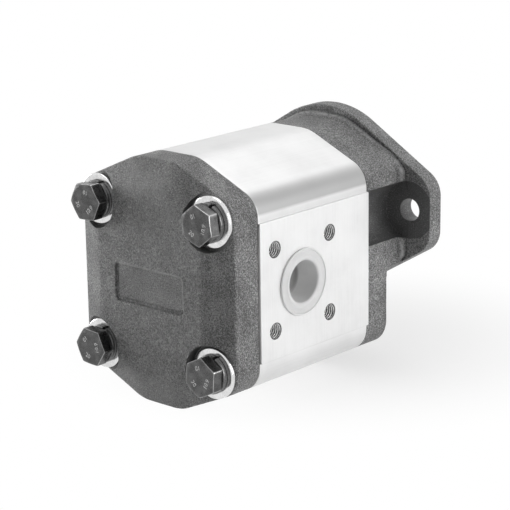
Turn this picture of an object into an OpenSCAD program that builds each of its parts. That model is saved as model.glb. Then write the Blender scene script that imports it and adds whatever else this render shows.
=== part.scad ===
// External gear pump with a two-bolt mounting flange.
// Origin: centre of the pilot on the mounting face. +Y runs along the drive shaft, away from
// the pump, +X points at the outlet port and +Z points up. The driven gear lies below the drive gear.

/* [Gears] */
// Module of the gear teeth
gear_module = 3; // [2.6:0.05:3.1]
// Number of teeth on each gear
gear_teeth = 13; // [11:1:14]
// Pressure angle of the teeth, in degrees
pressure_angle = 25; // [22:0.5:27]
// Width of the teeth along the shaft
gear_width = 40.5; // [34:0.5:44]
// Thickness taken off each tooth so that the pair runs free
tooth_thinning = 0.12; // [0.06:0.01:0.2]
// Gap between the tooth tips and the bores they run in
tip_clearance = 0.05; // [0.03:0.01:0.1]
// Gap between a gear face and a bearing block
side_clearance = 0.03; // [0.02:0.01:0.06]

/* [Shafts and bearings] */
// Diameter of all four journals
journal_d = 20; // [18:0.5:21]
// Gap between a journal and its bush, all round
journal_clearance = 0.03; // [0.02:0.01:0.06]
// Wall of a bearing bush
bush_wall = 1.5; // [1:0.1:2]
// Gap between a bearing block and the body bore, all round
block_clearance = 0.04; // [0.02:0.01:0.08]
// Diameter of the shaft where the lip seal runs
seal_track_d = 18; // [16.5:0.5:18]
// Diameter of the shaft end
shaft_end_d = 15.875; // [14:0.125:16]
// Reach of the shaft end beyond the mounting face
shaft_reach = 31.8; // [28:0.2:45]
// Width of the shaft key
key_width = 4; // [3:0.1:5]
// Height of the shaft key
key_height = 4; // [3.5:0.1:5]
// Length of the shaft key
key_length = 18; // [12:1:20]

/* [Pump body] */
// Width of the body and covers
body_width = 97; // [96:0.5:100]
// Height of the body and covers
body_height = 119; // [117:1:125]
// Length of the body between the covers
body_length = 78.5; // [76:0.5:95]
// Half width of the flat along the top and bottom
crown_half_width = 12.5; // [8:0.5:16]
// Slope from that flat down to the sides, in degrees
crown_slope = 24; // [20:0.5:26]
// Radius between the top flat and the slope
crown_radius = 22; // [10:1:30]
// Radius between the slope and the side
shoulder_radius = 13; // [8:0.5:16]
// How far the port pads stand out from the sides
pad_rise = 1.25; // [0.8:0.05:3]
// Height of the port pads
pad_height = 66.5; // [60:0.5:68]

/* [Ports] */
// Distance of the port centres from the front cover
port_from_front = 49.1; // [44:0.1:52]
// Bore that takes the fitting and the plug
port_bore_d = 26; // [24:0.5:27]
// Depth of that bore
port_bore_depth = 17; // [16:0.5:19]
// Passage from the bore to the gears
passage_d = 19; // [12:0.5:20]
// Side of the square of tapped holes round each port
port_hole_square = 38.9; // [37:0.1:42]
// Core diameter of the tapped port holes
port_hole_d = 6.8; // [5:0.1:8]
// Depth of the tapped port holes
port_hole_depth = 14; // [10:0.5:16]
// Diameter of the countersinks at the port holes
port_countersink_d = 8.2; // [8:0.1:9.2]

/* [Front cover] */
// Thickness of the plate that closes the body
front_plate = 15.6; // [14:0.1:18]
// Length of the neck, plate included, up to the flange
neck_length = 27.2; // [24:0.1:34]
// Thickness of the mounting flange at its rim
flange_thickness = 9; // [8:0.1:12]
// Distance between the two flange holes
flange_hole_span = 106.4; // [104:0.1:112]
// Diameter of the flange holes
flange_hole_d = 11.2; // [10:0.1:13]
// Distance from a flange hole to the side of its ear
ear_margin = 12.5; // [11:0.1:16]
// Radius of the ear corners
ear_radius = 12.5; // [8:0.5:13]
// Radius of the flange above the shaft
flange_top_radius = 46; // [44:0.5:50]
// Radius of the flange below the shaft
flange_bottom_radius = 48.3; // [44:0.1:52]
// Slope of the flange edge from the top arc to the ears, in degrees
flange_slope = 30.9; // [28:0.1:32]
// Diameter of the cutter that clears the flange bolts
seat_d = 29; // [27:0.5:30]
// Depth that the cutter goes below the cast face of the flange
flange_seat_depth = 0.3; // [0.2:0.1:1]
// Diameter of the pilot
pilot_d = 82.55; // [78:0.05:84]
// Height of the pilot over the mounting face
pilot_height = 6.35; // [5.6:0.05:7]
// Outer diameter of the lip seal
lip_seal_d = 32; // [30:0.5:38]
// Width of the lip seal
lip_seal_width = 7; // [6:0.5:8]
// Distance of the circlip below the pilot face
circlip_depth = 1.6; // [1:0.1:2.5]
// Thickness of the circlip
circlip_thickness = 1.2; // [1:0.1:1.5]

/* [Rear cover] */
// Thickness of the rear cover at its face
rear_cover_thickness = 21.9; // [21:0.1:23]
// How far the edge of the rear cover lies below its face
rim_drop = 6.3; // [5:0.1:7]
// Slope of the rim from that edge up to the face, in degrees
rim_slope = 22; // [18:1:28]
// Depth of the bolt seats below the face
bolt_seat_depth = 5.6; // [5:0.1:6.5]
// Diameter of the bolt seats
bolt_seat_d = 27.2; // [26:0.1:29]
// Width of the blank recess
recess_width = 43.5; // [30:0.5:46]
// Height of the blank recess
recess_height = 18; // [12:0.5:22]
// Depth of the blank recess
recess_depth = 0.8; // [0.4:0.1:1.5]

/* [Fasteners] */
// Distance of the cover bolts from the sides of the body
bolt_from_side = 12.7; // [12:0.1:13.5]
// Distance of the cover bolts from the top and bottom of the body
bolt_from_end = 23.9; // [23:0.1:24.5]
// Diameter of the cover bolts
bolt_d = 10; // [8:0.5:10]
// Size of the bolt heads across their flats
bolt_head_af = 17; // [16:0.1:18]
// Height of the bolt heads
bolt_head_height = 6.4; // [5:0.1:7.5]
// Length of cover bolt screwed into the front cover
bolt_grip = 10.7; // [9:0.1:12]
// Depth of the tapped holes in the front cover
bolt_hole_depth = 14; // [13.5:0.1:14]
// Outer diameter of the spring washers
spring_washer_d = 18.6; // [18:0.1:20]
// Thickness of the spring washers
spring_washer_thickness = 2.5; // [2:0.1:3]
// Outer diameter of the flat washers
flat_washer_d = 24.4; // [22:0.1:26]
// Thickness of the flat washers
flat_washer_thickness = 2; // [1.6:0.1:2.5]
// Gap between the bolts and what they pass through, all round
bolt_clearance = 0.3; // [0.2:0.05:0.5]
// Diameter of the dowel pins
dowel_d = 8; // [6:0.5:8]
// Length of the dowel pins
dowel_length = 16; // [12:0.5:20]
// Distance of the dowel pins from the sides of the body
dowel_from_side = 10.5; // [9:0.5:12]

/* [Seals] */
// Width of the body seals
body_seal_width = 2.4; // [1.8:0.1:2.8]
// Height of the body seals
body_seal_height = 1.9; // [1.4:0.1:2.4]
// Land between the gear bores and the body seals
body_seal_land = 3.2; // [2.5:0.1:4]
// Width of the pressure-balance seals
balance_seal_width = 2.2; // [1.6:0.1:2.6]
// Height of the pressure-balance seals
balance_seal_height = 1.8; // [1.2:0.1:2.4]
// Height of the backup rings
backup_height = 1.2; // [0.8:0.1:1.6]
// Gap between a seal and the sides of its groove
seal_clearance = 0.05; // [0.03:0.01:0.1]

/* [Plugs] */
// Diameter of the plug rim
plug_rim_d = 32.3; // [29:0.1:34]
// Height of the plug rim over the pad
plug_rim_height = 1.2; // [0.8:0.1:3]
// Diameter of the hollow in the plug
plug_hollow_d = 20; // [16:0.5:21.5]
// Depth of the hollow in the plug
plug_hollow_depth = 12.5; // [8:0.5:13]
// Depth of the plug in its bore
plug_depth = 14.5; // [14:0.5:16]
// Gap between the plug and its bore, all round
plug_clearance = 0.05; // [0.03:0.01:0.1]

/* [Hidden] */
$fn = 96;

// Through cuts run past the faces they break by this much
over = 1;

// Heights: the drive shaft is at zero, the driven shaft one centre distance below it
centre_distance = gear_module * gear_teeth;
middle_z = -centre_distance / 2;
shaft_heights = [0, -centre_distance];

// Places along the shaft, from the mounting face backwards
flange_face_y = -flange_thickness;
joint_front_y = flange_face_y - neck_length;
joint_rear_y = joint_front_y - body_length;
cover_face_y = joint_rear_y - rear_cover_thickness;
bolt_seat_y = cover_face_y + bolt_seat_depth;
plate_face_y = joint_front_y + front_plate;
gear_middle_y = (joint_front_y + joint_rear_y) / 2;
gear_front_y = gear_middle_y + gear_width / 2;
gear_rear_y = gear_middle_y - gear_width / 2;
block_rest = 0.02;
front_block_y = [gear_front_y + side_clearance, joint_front_y - block_rest];
rear_block_y = [joint_rear_y + block_rest, gear_rear_y - side_clearance];
port_y = joint_front_y - port_from_front;
pad_x = body_width / 2 + pad_rise;

// Gears
pitch_radius = centre_distance / 2;
tip_radius = pitch_radius + gear_module;
root_radius = pitch_radius - 1.25 * gear_module;
base_radius = pitch_radius * cos(pressure_angle);
gear_bore_radius = tip_radius + tip_clearance;
block_radius = gear_bore_radius - block_clearance;
journal_end_gap = 0.5;
chamfer = 1;

// Bearings and seals
bush_bore_d = journal_d + 2 * journal_clearance;
bush_d = bush_bore_d + 2 * bush_wall;
balance_line_radius = bush_d / 2 + 4.7;
balance_leg_x = 9;
balance_groove_depth = balance_seal_height + backup_height;
body_seal_radius = gear_bore_radius + body_seal_land + body_seal_width / 2;
relief_size = [7, 2, 9];
relief_offset = 8.5;
shaft_way_d = journal_d + 1;
pilot_face_y = pilot_height;
circlip_y = pilot_face_y - circlip_depth - circlip_thickness;
lip_seal_y = circlip_y - lip_seal_width;
circlip_groove = 1.1;
circlip_width = 3;
circlip_gap = 9;
seal_track_y = lip_seal_y - 4;
shaft_end_y = pilot_face_y - circlip_depth;

// Fasteners: the heads point at four different angles, as they came to rest, lower row first
bolt_turns = [[56, 26], [4, 38]];
bolt_span_x = body_width - 2 * bolt_from_side;
bolt_span_z = body_height - 2 * bolt_from_end;
washer_bore_d = bolt_d + 2 * bolt_clearance;
head_y = bolt_seat_y - flat_washer_thickness - spring_washer_thickness;
bolt_tip_y = joint_front_y + bolt_grip;
dowel_offset = body_width / 2 - dowel_from_side;
thread_fit = 0.02;
dowel_fit = 0.01;
head_chamfer_angle = 30;
washer_split = 1.4;
washer_split_angle = 20;

// Blank recess of the rear cover, a little off the middle as cast
recess_centre = [-0.5, middle_z - 1.3];
recess_radius = 2.5;

// Plug walls
plug_bead = 1.1;
plug_lead = 1.5;

function unit(v) = v / norm(v);
function middle_of(a, b) = (a + b) / 2;

// Centre of the arc of radius r that rounds corner p between its neighbours a and b
function arc_centre(a, p, b, r) =
    let (u = unit(a - p), w = unit(b - p))
    p + unit(u + w) * r / sin(acos(u * w) / 2);

// Point where the side from p towards q touches the arc round c
function touch_point(c, p, q) = p + unit(q - p) * ((c - p) * unit(q - p));

// Outline with straight sides and a true arc at each corner
module rounded_outline(corners, radii) {
    n = len(corners);
    centres = [for (i = [0:n - 1])
        arc_centre(corners[(i + n - 1) % n], corners[i], corners[(i + 1) % n], radii[i])];
    touches = [for (i = [0:n - 1])
        [for (k = [n - 1, 1]) touch_point(centres[i], corners[i], corners[(i + k) % n])]];
    polygon([for (pair = touches, point = pair) point]);
    for (i = [0:n - 1]) intersection() {
        translate(centres[i]) circle(r = radii[i]);
        polygon([centres[i], touches[i][0], corners[i], touches[i][1]]);
    }
}

// Extrudes an outline drawn in X and Z from y0 to y1
module along_y(y0, y1) {
    translate([0, y1, 0]) rotate([90, 0, 0]) linear_extrude(height = y1 - y0) children();
}

// Round bar or hole along the shaft direction
module bar_y(x, z, d, y0, y1) {
    translate([x, y1, z]) rotate([90, 0, 0]) cylinder(d = d, h = y1 - y0);
}

// Turns a profile of radius and distance from the mounting face round the shaft direction
module turned_y(x, z) {
    translate([x, 0, z]) rotate([-90, 0, 0]) rotate_extrude() children();
}

// Common outline of the body and both covers
module housing_outline() {
    x = body_width / 2;
    top = body_height / 2;
    shoulder = top - (x - crown_half_width) * tan(crown_slope);
    quarter = [[x, shoulder], [crown_half_width, top]];
    corners = [quarter[0], quarter[1], [-crown_half_width, top], [-x, shoulder],
        [-x, -shoulder], [-crown_half_width, -top], [crown_half_width, -top], [x, -shoulder]];
    radii = [for (i = [0:7]) (i % 4 == 0 || i % 4 == 3) ? shoulder_radius : crown_radius];
    translate([0, middle_z]) rounded_outline(corners, radii);
}

// Two-bolt flange: arcs round the shaft, slanting edges and flat-sided ears
module flange_outline() {
    x = flange_hole_span / 2 + ear_margin;
    top = flange_top_radius / cos(flange_slope);
    bottom = flange_bottom_radius / cos(flange_slope);
    drop = x * tan(flange_slope);
    rounded_outline(
        [[0, top], [-x, top - drop], [-x, drop - bottom], [0, -bottom], [x, drop - bottom], [x, top - drop]],
        [flange_top_radius, ear_radius, ear_radius, flange_bottom_radius, ear_radius, ear_radius]);
}

// Two overlapping discs, one round each shaft
module twin_discs(r) {
    for (z = shaft_heights)
        translate([0, z]) circle(r = r);
}

// Oval round both shafts
module oval(r) {
    twin_discs(r);
    translate([-r, -centre_distance]) square([2 * r, centre_distance]);
}

// Places its child at each of the four bolts, with the column and row of the bolt in $column and $row
module at_bolts() {
    for ($column = [0, 1], $row = [0, 1])
        translate([($column - 0.5) * bolt_span_x, 0, middle_z + ($row - 0.5) * bolt_span_z]) children();
}

// Places its child at each of the two dowels of a joint
module at_dowels() {
    for (side = [-1, 1])
        translate([side * dowel_offset, 0, middle_z]) children();
}

module body_seal_outline(clearance) {
    half = body_seal_width / 2 + clearance;
    difference() {
        oval(body_seal_radius + half);
        oval(body_seal_radius - half);
    }
}

module balance_seal_outline(clearance) {
    half = balance_seal_width / 2 + clearance;
    reach = sqrt(pow(block_radius, 2) - pow(balance_leg_x + half, 2)) - 0.5 - seal_clearance + clearance;
    inner = sqrt(pow(balance_line_radius, 2) - pow(balance_leg_x, 2)) - half;
    intersection() {
        difference() {
            twin_discs(balance_line_radius + half);
            twin_discs(balance_line_radius - half);
        }
        translate([-2 * block_radius, -3 * block_radius])
            square([2 * block_radius + balance_leg_x + half, 5 * block_radius]);
    }
    translate([balance_leg_x - half, -centre_distance + inner]) square([2 * half, centre_distance - 2 * inner]);
    for (end = [0, 1])
        translate([balance_leg_x - half, end == 0 ? inner : -centre_distance - reach])
            square([2 * half, reach - inner]);
}

// Gear outline: involute flanks from the base circle to the tip, straight below it
function involute_angle(r) =
    let (a = acos(base_radius / r)) tan(a) * 180 / PI - a;
pitch_half_angle = 90 / gear_teeth - tooth_thinning / 2 / pitch_radius * 180 / PI;
function flank_angle(r) =
    pitch_half_angle + involute_angle(pitch_radius) - involute_angle(max(r, base_radius));
flank_steps = 6;
function flank_radius(i) = base_radius + (tip_radius - base_radius) * i / flank_steps;
function tooth_points(turn) = concat(
    [[root_radius, turn - flank_angle(base_radius)]],
    [for (i = [0:flank_steps]) [flank_radius(i), turn - flank_angle(flank_radius(i))]],
    [for (i = [flank_steps:-1:0]) [flank_radius(i), turn + flank_angle(flank_radius(i))]],
    [[root_radius, turn + flank_angle(base_radius)]]);

module gear_outline(first_tooth) {
    polygon([for (i = [0:gear_teeth - 1], p = tooth_points(first_tooth + 360 / gear_teeth * i))
        p[0] * [cos(p[1]), sin(p[1])]]);
}

// Cuts the sloped rim along one side of the rear cover. The side faces the given angle in X and Z
// and lies the given distance from the middle.
module rim_cut(facing, distance) {
    translate([0, 0, middle_z]) rotate([0, -facing, 0])
        translate([distance, cover_face_y + rim_drop, 0]) rotate([0, 0, rim_slope])
            translate([-body_width / 2, -body_width / 2, -body_height])
                cube([body_width, body_width / 2, 2 * body_height]);
}

module rear_cover() {
    slope_facing = 90 - crown_slope;
    slope_distance = crown_half_width * cos(slope_facing) + body_height / 2 * sin(slope_facing);
    color("dimgray") difference() {
        along_y(cover_face_y, joint_rear_y) housing_outline();
        for (half = [0, 180]) {
            rim_cut(half, body_width / 2);
            rim_cut(half + 90, body_height / 2);
            for (facing = [slope_facing, -slope_facing])
                rim_cut(half + facing, slope_distance);
        }
        at_bolts() {
            bar_y(0, 0, washer_bore_d, cover_face_y - over, joint_rear_y + over);
            bar_y(0, 0, bolt_seat_d, cover_face_y - over, bolt_seat_y);
        }
        at_dowels() bar_y(0, 0, dowel_d + 2 * dowel_fit, joint_rear_y - dowel_length / 2, joint_rear_y + over);
        along_y(joint_rear_y - body_seal_height, joint_rear_y + over) body_seal_outline(seal_clearance);
        along_y(cover_face_y - over, cover_face_y + recess_depth)
            translate(recess_centre) recess_outline();
    }
}

module recess_outline() {
    x = recess_width / 2;
    z = recess_height / 2;
    rounded_outline([[x, z], [-x, z], [-x, -z], [x, -z]], [for (i = [0:3]) recess_radius]);
}

module pump_body() {
    color("gainsboro") difference() {
        union() {
            along_y(joint_rear_y, joint_front_y) housing_outline();
            translate([-pad_x, joint_rear_y, middle_z - pad_height / 2])
                cube([2 * pad_x, body_length, pad_height]);
        }
        along_y(joint_rear_y - over, joint_front_y + over) twin_discs(gear_bore_radius);
        at_bolts() bar_y(0, 0, washer_bore_d, joint_rear_y - over, joint_front_y + over);
        for (y = [joint_rear_y, joint_front_y])
            at_dowels() bar_y(0, 0, dowel_d + 2 * dowel_fit, y - dowel_length / 2, y + dowel_length / 2);
        translate([-pad_x, port_y, middle_z]) rotate([0, 90, 0]) cylinder(d = passage_d, h = 2 * pad_x);
        for (side = [0, 1])
            mirror([side, 0, 0]) port_cuts();
    }
}

// Fitting bore and tapped holes of the port on the +X side
module port_cuts() {
    translate([pad_x - port_bore_depth, port_y, middle_z]) rotate([0, 90, 0])
        cylinder(d = port_bore_d, h = port_bore_depth + over);
    sink = (port_countersink_d - port_hole_d) / 2;
    for (y = [-0.5, 0.5], z = [-0.5, 0.5])
        translate([pad_x, port_y + y * port_hole_square, middle_z + z * port_hole_square])
            rotate([0, -90, 0]) {
                translate([0, 0, -over]) cylinder(d = port_hole_d, h = port_hole_depth + over);
                translate([0, 0, -over])
                    cylinder(d1 = port_countersink_d + 2 * over, d2 = port_hole_d, h = sink + over);
            }
}

module front_cover() {
    color("dimgray") difference() {
        union() {
            along_y(joint_front_y, plate_face_y) housing_outline();
            along_y(plate_face_y, flange_face_y) intersection() {
                housing_outline();
                flange_outline();
            }
            along_y(flange_face_y, 0) flange_outline();
            bar_y(0, 0, pilot_d, 0, pilot_face_y);
        }
        for (side = [-1, 1]) {
            bar_y(side * flange_hole_span / 2, 0, flange_hole_d, flange_face_y - over, over);
            bar_y(side * flange_hole_span / 2, 0, seat_d, joint_front_y - over,
                flange_face_y + flange_seat_depth);
        }
        at_bolts() bar_y(0, 0, bolt_d + 2 * thread_fit, joint_front_y - over, joint_front_y + bolt_hole_depth);
        at_dowels() bar_y(0, 0, dowel_d + 2 * dowel_fit, joint_front_y - over, joint_front_y + dowel_length / 2);
        bar_y(0, 0, shaft_way_d, joint_front_y - over, lip_seal_y + over);
        bar_y(0, 0, lip_seal_d, lip_seal_y, pilot_face_y + over);
        bar_y(0, 0, lip_seal_d + 2 * circlip_groove, circlip_y, circlip_y + circlip_thickness);
        along_y(joint_front_y - over, joint_front_y + body_seal_height) body_seal_outline(seal_clearance);
    }
}

module rear_journal(z) {
    bar_y(0, z, journal_d, rear_block_y[0] + journal_end_gap, gear_rear_y + over);
}

module drive_gear() {
    color("slategray") difference() {
        union() {
            along_y(gear_rear_y, gear_front_y) gear_outline(-90);
            rear_journal(0);
            turned_y(0, 0) polygon([
                [0, gear_front_y - over], [journal_d / 2, gear_front_y - over],
                [journal_d / 2, seal_track_y - chamfer], [seal_track_d / 2, seal_track_y],
                [seal_track_d / 2, shaft_end_y], [shaft_end_d / 2, shaft_end_y],
                [shaft_end_d / 2, shaft_reach - chamfer], [shaft_end_d / 2 - chamfer, shaft_reach],
                [0, shaft_reach]]);
        }
        key_block(over);
    }
}

// Key, or its seat in the shaft when it is taller by the given amount
module key_block(extra) {
    sunk = key_height * 0.6;
    end = shaft_reach - 2;
    translate([-key_width / 2, end - key_length, shaft_end_d / 2 - sunk])
        cube([key_width, key_length, key_height + extra]);
}

module shaft_key() {
    color("silver") key_block(0);
}

module driven_gear() {
    color("slategray") {
        translate([0, 0, -centre_distance])
            along_y(gear_rear_y, gear_front_y) gear_outline(90 + 180 / gear_teeth);
        rear_journal(-centre_distance);
        bar_y(0, -centre_distance, journal_d, gear_front_y - over, front_block_y[1] - journal_end_gap);
    }
}

// Bearing block between y0 and y1. Its sealed face is at y0, and side is 1 when that face points to the rear.
module bearing_block(y0, y1, side) {
    seal_face = side > 0 ? y0 : y1;
    gear_face = side > 0 ? y1 : y0;
    difference() {
        along_y(y0, y1) twin_discs(block_radius);
        for (z = shaft_heights)
            bar_y(0, z, bush_d, y0 - over, y1 + over);
        along_y(min(seal_face, seal_face + side * balance_groove_depth) - (side > 0 ? over : 0),
            max(seal_face, seal_face + side * balance_groove_depth) + (side > 0 ? 0 : over))
            balance_seal_outline(seal_clearance);
        for (x = [-relief_offset, relief_offset])
            translate([x - relief_size[0] / 2, gear_face - relief_size[1], middle_z - relief_size[2] / 2])
                cube([relief_size[0], 2 * relief_size[1], relief_size[2]]);
    }
}

module front_bearing_block() {
    color("lightsteelblue") bearing_block(front_block_y[0], front_block_y[1], -1);
}

module rear_bearing_block() {
    color("lightsteelblue") bearing_block(rear_block_y[0], rear_block_y[1], 1);
}

// Bearing bush round the shaft at height z
module bush(z, span) {
    color("peru") difference() {
        bar_y(0, z, bush_d, span[0], span[1]);
        bar_y(0, z, bush_bore_d, span[0] - over, span[1] + over);
    }
}

module front_drive_bush() {
    bush(shaft_heights[0], front_block_y);
}

module front_driven_bush() {
    bush(shaft_heights[1], front_block_y);
}

module rear_drive_bush() {
    bush(shaft_heights[0], rear_block_y);
}

module rear_driven_bush() {
    bush(shaft_heights[1], rear_block_y);
}

module front_body_seal() {
    color("black") along_y(joint_front_y, joint_front_y + body_seal_height) body_seal_outline(0);
}

module rear_body_seal() {
    color("black") along_y(joint_rear_y - body_seal_height, joint_rear_y) body_seal_outline(0);
}

module front_balance_seal() {
    bottom = front_block_y[1] - balance_groove_depth;
    color("black") along_y(bottom, bottom + balance_seal_height) balance_seal_outline(0);
}

module rear_balance_seal() {
    bottom = rear_block_y[0] + balance_groove_depth;
    color("black") along_y(bottom - balance_seal_height, bottom) balance_seal_outline(0);
}

module front_backup_ring() {
    color("ivory") along_y(front_block_y[1] - backup_height, front_block_y[1]) balance_seal_outline(0);
}

module rear_backup_ring() {
    color("ivory") along_y(rear_block_y[0], rear_block_y[0] + backup_height) balance_seal_outline(0);
}

// Lip seal: a ring in the cover, a web and a lip that runs on the shaft
module shaft_seal() {
    outer = lip_seal_d / 2;
    lip = seal_track_d / 2 + 0.02;
    wall = 2;
    color("black") turned_y(0, 0) polygon([
        [outer, lip_seal_y], [outer, circlip_y], [lip + 1, circlip_y], [lip, circlip_y - 2],
        [lip, circlip_y - 3], [lip + wall, lip_seal_y + 1], [lip + wall, circlip_y - wall],
        [outer - wall, circlip_y - wall], [outer - wall, lip_seal_y]]);
}

// Internal circlip, open at the bottom
module seal_circlip() {
    outer = lip_seal_d / 2 + circlip_groove;
    color("silver") along_y(circlip_y, circlip_y + circlip_thickness) difference() {
        circle(r = outer);
        circle(r = outer - circlip_width);
        translate([-circlip_gap / 2, -2 * outer]) square([circlip_gap, 2 * outer]);
    }
}

module cover_bolts() {
    corner = bolt_head_af / cos(30) / 2;
    flat = bolt_head_af / 2;
    slope = (corner - flat) * tan(head_chamfer_angle);
    color("dimgray") at_bolts() {
        bar_y(0, 0, bolt_d, head_y - over, bolt_tip_y);
        intersection() {
            translate([0, head_y, 0]) rotate([90, 0, 0]) rotate([0, 0, bolt_turns[$row][$column]])
                cylinder(d = 2 * corner, h = bolt_head_height, $fn = 6);
            turned_y(0, 0) polygon([[0, head_y], [corner + over, head_y],
                [corner + over, head_y - bolt_head_height + slope * (corner + over - flat) / (corner - flat)],
                [flat, head_y - bolt_head_height], [0, head_y - bolt_head_height]]);
        }
    }
}

module spring_washers() {
    near = head_y;
    far = head_y + spring_washer_thickness;
    color("gray") at_bolts() difference() {
        bar_y(0, 0, spring_washer_d, near, far);
        bar_y(0, 0, washer_bore_d, near - over, far + over);
        translate([0, middle_of(near, far), 0]) rotate([0, 0, washer_split_angle])
            translate([-washer_split / 2, -spring_washer_d, bolt_d / 4])
                cube([washer_split, 2 * spring_washer_d, spring_washer_d]);
    }
}

module flat_washers() {
    near = bolt_seat_y - flat_washer_thickness;
    color("whitesmoke") at_bolts() difference() {
        bar_y(0, 0, flat_washer_d, near, bolt_seat_y);
        bar_y(0, 0, washer_bore_d, near - over, bolt_seat_y + over);
    }
}

module dowel_pins() {
    color("silver") for (y = [joint_rear_y, joint_front_y])
        at_dowels() bar_y(0, 0, dowel_d, y - dowel_length / 2, y + dowel_length / 2);
}

// Transport plug of the port on the +X side: a cup with a beaded rim that rests on the pad
module transport_plug() {
    barrel = port_bore_d / 2 - plug_clearance;
    hollow = plug_hollow_d / 2;
    rim = plug_rim_d / 2;
    translate([pad_x, port_y, middle_z]) rotate([0, 90, 0]) rotate_extrude() polygon([
        [0, -plug_depth], [barrel - plug_lead, -plug_depth], [barrel, plug_lead - plug_depth], [barrel, 0],
        [rim, 0], [rim, plug_rim_height], [rim - plug_bead, plug_rim_height],
        [rim - plug_bead, plug_rim_height * 0.6], [hollow, plug_rim_height * 0.6],
        [hollow, -plug_hollow_depth], [0, -plug_hollow_depth]]);
}

module outlet_plug() {
    color("white") transport_plug();
}

module inlet_plug() {
    color("white") mirror([1, 0, 0]) transport_plug();
}

rear_cover();
pump_body();
front_cover();
drive_gear();
driven_gear();
front_bearing_block();
rear_bearing_block();
front_drive_bush();
front_driven_bush();
rear_drive_bush();
rear_driven_bush();
front_body_seal();
rear_body_seal();
front_balance_seal();
rear_balance_seal();
front_backup_ring();
rear_backup_ring();
shaft_seal();
seal_circlip();
shaft_key();
cover_bolts();
spring_washers();
flat_washers();
dowel_pins();
outlet_plug();
inlet_plug();
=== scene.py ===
import math

import bmesh
import bpy
import numpy as np
from mathutils import Matrix


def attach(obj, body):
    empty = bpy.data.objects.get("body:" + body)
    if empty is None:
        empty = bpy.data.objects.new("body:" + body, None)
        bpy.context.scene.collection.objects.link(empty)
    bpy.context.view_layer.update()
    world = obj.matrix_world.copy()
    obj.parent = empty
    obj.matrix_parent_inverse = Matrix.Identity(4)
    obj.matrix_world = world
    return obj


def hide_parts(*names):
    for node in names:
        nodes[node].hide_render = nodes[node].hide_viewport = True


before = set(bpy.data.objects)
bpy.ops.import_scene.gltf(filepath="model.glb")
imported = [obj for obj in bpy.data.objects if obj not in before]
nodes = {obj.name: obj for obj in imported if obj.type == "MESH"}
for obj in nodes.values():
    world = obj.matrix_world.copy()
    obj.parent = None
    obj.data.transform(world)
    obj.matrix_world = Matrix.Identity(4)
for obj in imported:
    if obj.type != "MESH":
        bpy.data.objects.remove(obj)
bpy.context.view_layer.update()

# Pump body
# A length cut from an aluminium extrusion and left bright, with fine lines along it from the die and
# painted shade on the rounded shoulders of its upper half. The gear bores, port bores and tapped holes are
# machined, the two port pads are milled flat, and the cut ends lose their sharp edge.
MM = 0.001
body_rear = -114.7
body_front = -36.2
half_spacing = 19.5
middle_z = -half_spacing
body_half_width = 48.5
body_half_height = 59.5
crown_half_width = 12.5
shoulder_height = body_half_height - (body_half_width - crown_half_width) * math.tan(math.radians(24))
shoulder_radius = 13
crown_radius = 22
pad_x = 49.75
pad_half_height = 33.25
port_y = -85.3
port_radius = 13
gear_bore_radius = 22.55
bolt_x = 35.8
bolt_z = 35.6
bolt_hole_radius = 5.3
port_hole_offset = 19.45
thread_radius = 4.05
thread_core = 3.34
thread_depth = 0.68
thread_pitch = 1.25
dowel_x = 38
dowel_hole_radius = 4
bolt_axes = [(x, middle_z + z) for x in (-bolt_x, bolt_x) for z in (-bolt_z, bolt_z)]


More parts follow.
